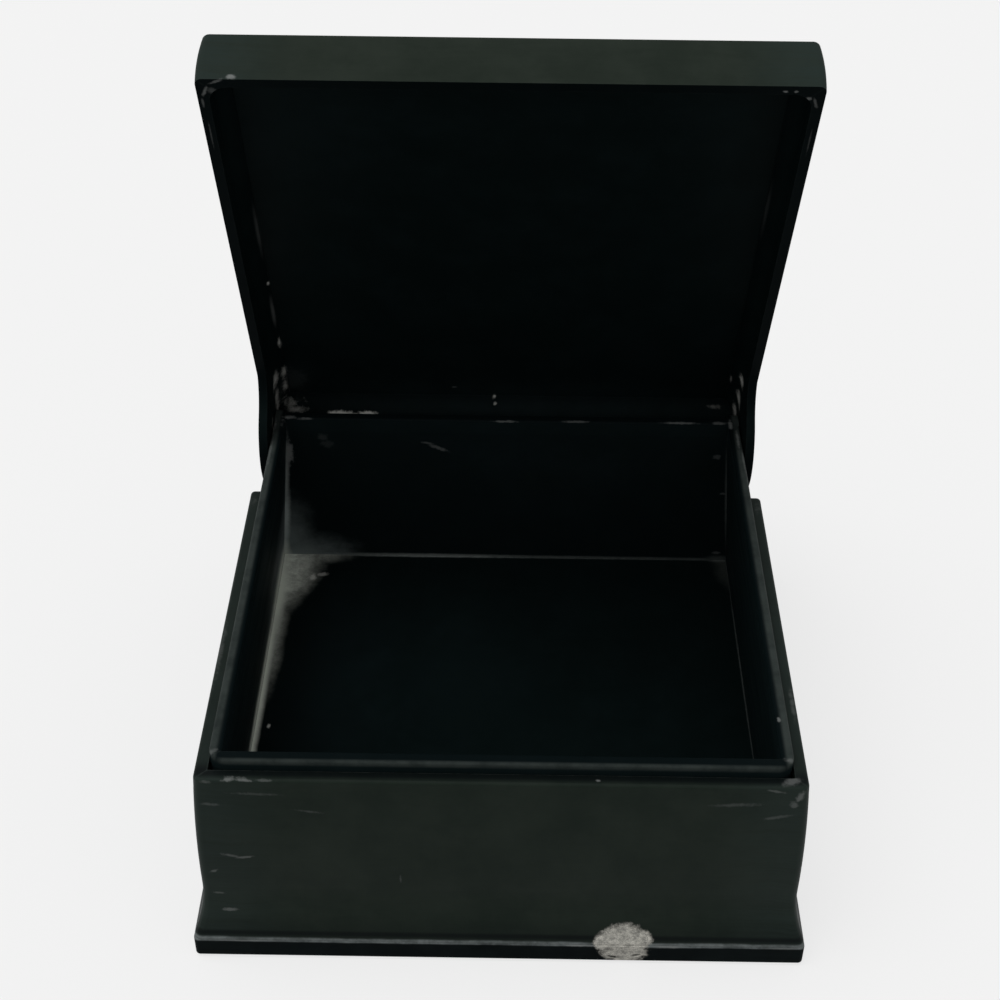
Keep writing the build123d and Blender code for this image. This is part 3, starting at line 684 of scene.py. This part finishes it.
def rail_lacquer_lit_and_shaded():
    """Lid rails: satin outside in a lighter copy of the lacquer as painted light, deep black inside
    with painted shade on the rim, worn light round the hinge.
    """
    material, tree, shader, place = new_material("rail_lacquer_lit_and_shaded", INNER_GLOSS)
    shut = use(tree, closed_lid, Place=place)["Place"]
    sides = use(tree, outer_side, Place=shut)
    outer, lines = satin(tree, shut, UPRIGHT, LACQUER_LID_LIT, LACQUER_LID_LIT_WORN, ends=0.9)
    inner, _ = deep(tree, shut, UPRIGHT, 0.0, 0.30)
    inner, _ = worn(tree, place, inner, RAIL_HAZE)
    # painted shade on the rim, which faces down when the lid is shut
    inner = tinted(tree, inner, sides["Rim"], 0.6, BLACK_AND_PAINTED_SHADE)
    colour = blend(tree, sides["Outside"], inner, outer)
    # wear and painted highlight along the edges of the rails
    colour = rubbed_and_highlit(tree, place, colour, width=0.25, patchy=0.9, amount=0.20)
    # knocks on the rim, painted reflections along the inner corners, and rubs by the hinge
    colour, rubs = worn(tree, place, colour, RIM_WEAR, LID_CORNER_REFLECTIONS, HINGE_RUBS)
    colour, chalk = worn(tree, place, colour, CHALK_STREAKS)
    lacquered(tree, shader, colour, lines, SATIN, calc(tree, "MAXIMUM", rubs, chalk))
    return material


def top_lacquer():
    """Satin black top of the lid."""
    material, tree, shader, place = new_material("top_lacquer", OUTER_GLOSS)
    shut = use(tree, closed_lid, Place=place)["Place"]
    colour, lines = satin(tree, shut, FLAT, LACQUER, LACQUER_WORN)
    colour = rubbed_and_highlit(tree, place, colour, width=0.40, patchy=0.8, amount=0.5)
    lacquered(tree, shader, colour, lines, SATIN)
    return material


def lining_lacquer():
    """Deep black lining boards: a lip dark on top with a pale outer edge, partly wear and partly
    painted highlight, dust at the corners.
    """
    material, tree, shader, place = new_material("lining_lacquer", INNER_GLOSS)
    colour, lines = deep(tree, place, UPRIGHT, 0.50, 0.80)
    raised, top, face = lip_masks(tree, place)
    # darker along the very top of the lip
    colour = tinted(tree, colour, top, 0.6, BLACK_AND_PAINTED_SHADE)
    # pale outer edge of the lip: wear, and painted highlight where light from above falls on it
    colour = tinted(tree, colour, face, 0.68, LACQUER_RUB_AND_HIGHLIGHT)
    colour, _ = worn(tree, place, colour, BACK_HAZE)
    # wear and painted highlight along the arrises of the lip
    colour = rubbed_and_highlit(tree, place, colour, width=0.30, patchy=0.8, amount=0.35, where=raised)
    colour, rubs = worn(tree, place, colour, CORNER_SEAMS, WALL_HAZE, SEAM_DUST_AND_HIGHLIGHT, LIP_RUBS)
    colour, _ = worn(tree, place, colour, WALL_STREAKS)
    lacquered(tree, shader, colour, lines, DEEP, rubs)
    return material


def floor_lacquer():
    """Deep black floor of the well, with painted sheen in the middle and dust at the back left."""
    material, tree, shader, place = new_material("floor_lacquer", INNER_GLOSS)
    colour, lines = deep(tree, place, FLAT, 0.0, 0.22)
    # painted sheen on the floor, then dust in the seams
    colour, _ = worn(tree, place, colour, FLOOR_SHEEN, CORNER_SEAMS)
    powder = ramp(tree, noise(tree, place, 0.6, 8.0, 0.75), 0.34, 0.66, 0.55, 1.0)
    patch = calc(tree, "MULTIPLY", marked(tree, place, FLOOR_DUST), powder)
    colour = tinted(tree, colour, patch, FLOOR_DUST.amount, FLOOR_DUST.tint)
    colour, _ = worn(tree, place, colour, SEAM_DUST_AND_HIGHLIGHT, FLOOR_SPECKS)
    lacquered(tree, shader, colour, lines, DEEP, patch)
    return material


def panel_lacquer():
    """Deep black inside of the lid, with faint haze near its corners and painted reflections along
    its sides.
    """
    material, tree, shader, place = new_material("panel_lacquer", INNER_GLOSS)
    shut = use(tree, closed_lid, Place=place)["Place"]
    colour, lines = deep(tree, shut, FLAT, 0.06, 0.34)
    # haze, painted reflections along the inner corners, and rubs
    colour, _ = worn(tree, place, colour, PANEL_HAZE, LID_CORNER_REFLECTIONS, PANEL_RUBS)
    grit = use(tree, specks, Place=place, Scale=0.10, Size=0.03)["Specks"]
    colour = tinted(tree, colour, grit, 0.25, BARE_EDGE_AND_REFLECTION)
    lacquered(tree, shader, colour, lines, DEEP)
    return material


def felt():
    """Short black felt under the base."""
    material, tree, shader, place = new_material("felt", FELT_GLOSS)
    nap = noise(tree, place, 4.0, 6.0, 0.8)
    colour = blend(tree, nap, FELT_BLACK, FELT_GREY)
    rough = ramp(tree, nap, 0.2, 0.8, 0.85, 1.0)
    finish(tree, shader, colour, rough, nap, depth=0.2, strength=0.8)
    return material


def pin_steel():
    """Plain steel pin, drawn lengthwise and a little dull."""
    material, tree, shader, place = new_material("pin_steel")
    shader.inputs["Metallic"].default_value = 1.0
    lines = noise(tree, stretched(tree, place, (0.3, 6.0, 6.0)), 2.0, 3.0, 0.6)
    colour = blend(tree, lines, STEEL, STEEL_DULL)
    rough = ramp(tree, lines, 0.2, 0.8, 0.25, 0.45)
    finish(tree, shader, colour, rough, lines, depth=0.02, strength=0.5)
    return material


def dress(names, material):
    """Give nodes a material in every slot."""
    for name in names:
        for slot in frame["nodes"][name].material_slots:
            slot.material = material


dress(["shell_front", "shell_back", "shell_left", "shell_right"], case_lacquer())
dress(["base_plate"], shaded_plate_lacquer())
dress(["lid_front_rail", "lid_back_rail", "lid_left_rail", "lid_right_rail"], rail_lacquer_lit_and_shaded())
dress(["lid_top_panel"], top_lacquer())
dress(["liner_front", "liner_back", "liner_left", "liner_right"], lining_lacquer())
dress(["floor_lining"], floor_lacquer())
dress(["lid_inner_panel"], panel_lacquer())
dress(["underside_felt"], felt())
dress(["pivot_pin_left", "pivot_pin_right"], pin_steel())


# ---- floor, light and camera -------------------------------------------------------------------
def seen_directly(tree):
    """1 for rays from the camera, a reflection or a clear piece, and 0 for the light thrown back."""
    seen = put(tree, "ShaderNodeLightPath").outputs
    direct = calc(tree, "MAXIMUM", seen["Is Camera Ray"], seen["Is Glossy Ray"])
    return calc(tree, "MAXIMUM", direct, seen["Is Transmission Ray"])


def paper():
    """Pale paper that glows to the eye, keeps the shadow of the box and throws back less light."""
    material = bpy.data.materials.new("paper")
    material.use_nodes = True
    tree = material.node_tree
    shaded = put(tree, "ShaderNodeBsdfDiffuse", {"Color": PAPER}).outputs[0]
    glow = put(tree, "ShaderNodeEmission", {"Color": PAPER_GLOW}).outputs[0]
    faint = put(tree, "ShaderNodeMixShader", {"Fac": PAPER_SHADE, 2: shaded}).outputs[0]
    pale = put(tree, "ShaderNodeAddShader", {0: glow, 1: faint}).outputs[0]
    bounce = put(tree, "ShaderNodeBsdfDiffuse", {"Color": PAPER_BOUNCE}).outputs[0]
    sockets = {"Fac": seen_directly(tree), 1: bounce, 2: pale}
    both = put(tree, "ShaderNodeMixShader", sockets).outputs[0]
    tree.links.new(both, tree.nodes["Material Output"].inputs["Surface"])
    tree.nodes.remove(tree.nodes["Principled BSDF"])
    return material


def pale_floor():
    """Wide plain floor under the box."""
    mesh = bpy.data.meshes.new("floor")
    shape = bmesh.new()
    bmesh.ops.create_grid(shape, x_segments=1, y_segments=1, size=FLOOR * MM / 2)
    bmesh.ops.translate(shape, verts=shape.verts, vec=(0, 0, -FLOOR_DROP * MM))
    shape.to_mesh(mesh)
    shape.free()
    mesh.materials.append(paper())
    floor = bpy.data.objects.new("floor", mesh)
    bpy.context.scene.collection.objects.link(floor)


def soft_light():
    """Even sky light with one wide, soft lamp from above and a little to the left."""
    world = bpy.data.worlds.new("studio")
    bpy.context.scene.world = world
    world.use_nodes = True
    tree = world.node_tree
    sky = tree.nodes["Background"]
    sky.inputs["Color"].default_value = (1, 1, 1, 1)
    strength = ramp(tree, seen_directly(tree), 0.0, 1.0, SKY_LIGHT, SKY_SEEN)
    tree.links.new(strength, sky.inputs["Strength"])
    lamp = bpy.data.lights.new("key", "SUN")
    lamp.energy = SUN
    lamp.angle = radians(SUN_SPREAD)
    key = bpy.data.objects.new("key", lamp)
    bpy.context.scene.collection.objects.link(key)
    key.rotation_euler = tuple(radians(angle) for angle in SUN_TILT)


def front_camera():
    """Camera above the front, looking down at the box."""
    down = radians(CAMERA_DOWN)
    aside = radians(CAMERA_ASIDE)
    roll = radians(CAMERA_ROLL)
    ahead = Vector((sin(aside) * cos(down), cos(aside) * cos(down), -sin(down)))
    level = Vector((cos(aside), -sin(aside), 0))
    upward = level.cross(ahead)
    right = level * cos(roll) + upward * sin(roll)
    top = upward * cos(roll) - level * sin(roll)
    data = bpy.data.cameras.new("camera")
    data.lens = LENS
    data.clip_start = NEAREST * MM
    camera = bpy.data.objects.new("camera", data)
    bpy.context.scene.collection.objects.link(camera)
    turn = Matrix((right, top, -ahead)).transposed().to_4x4()
    camera.matrix_world = Matrix.Translation(Vector(CAMERA_AT) * MM) @ turn
    bpy.context.scene.camera = camera


pale_floor()
soft_light()
front_camera()
bpy.context.scene.view_settings.view_transform = "Standard"
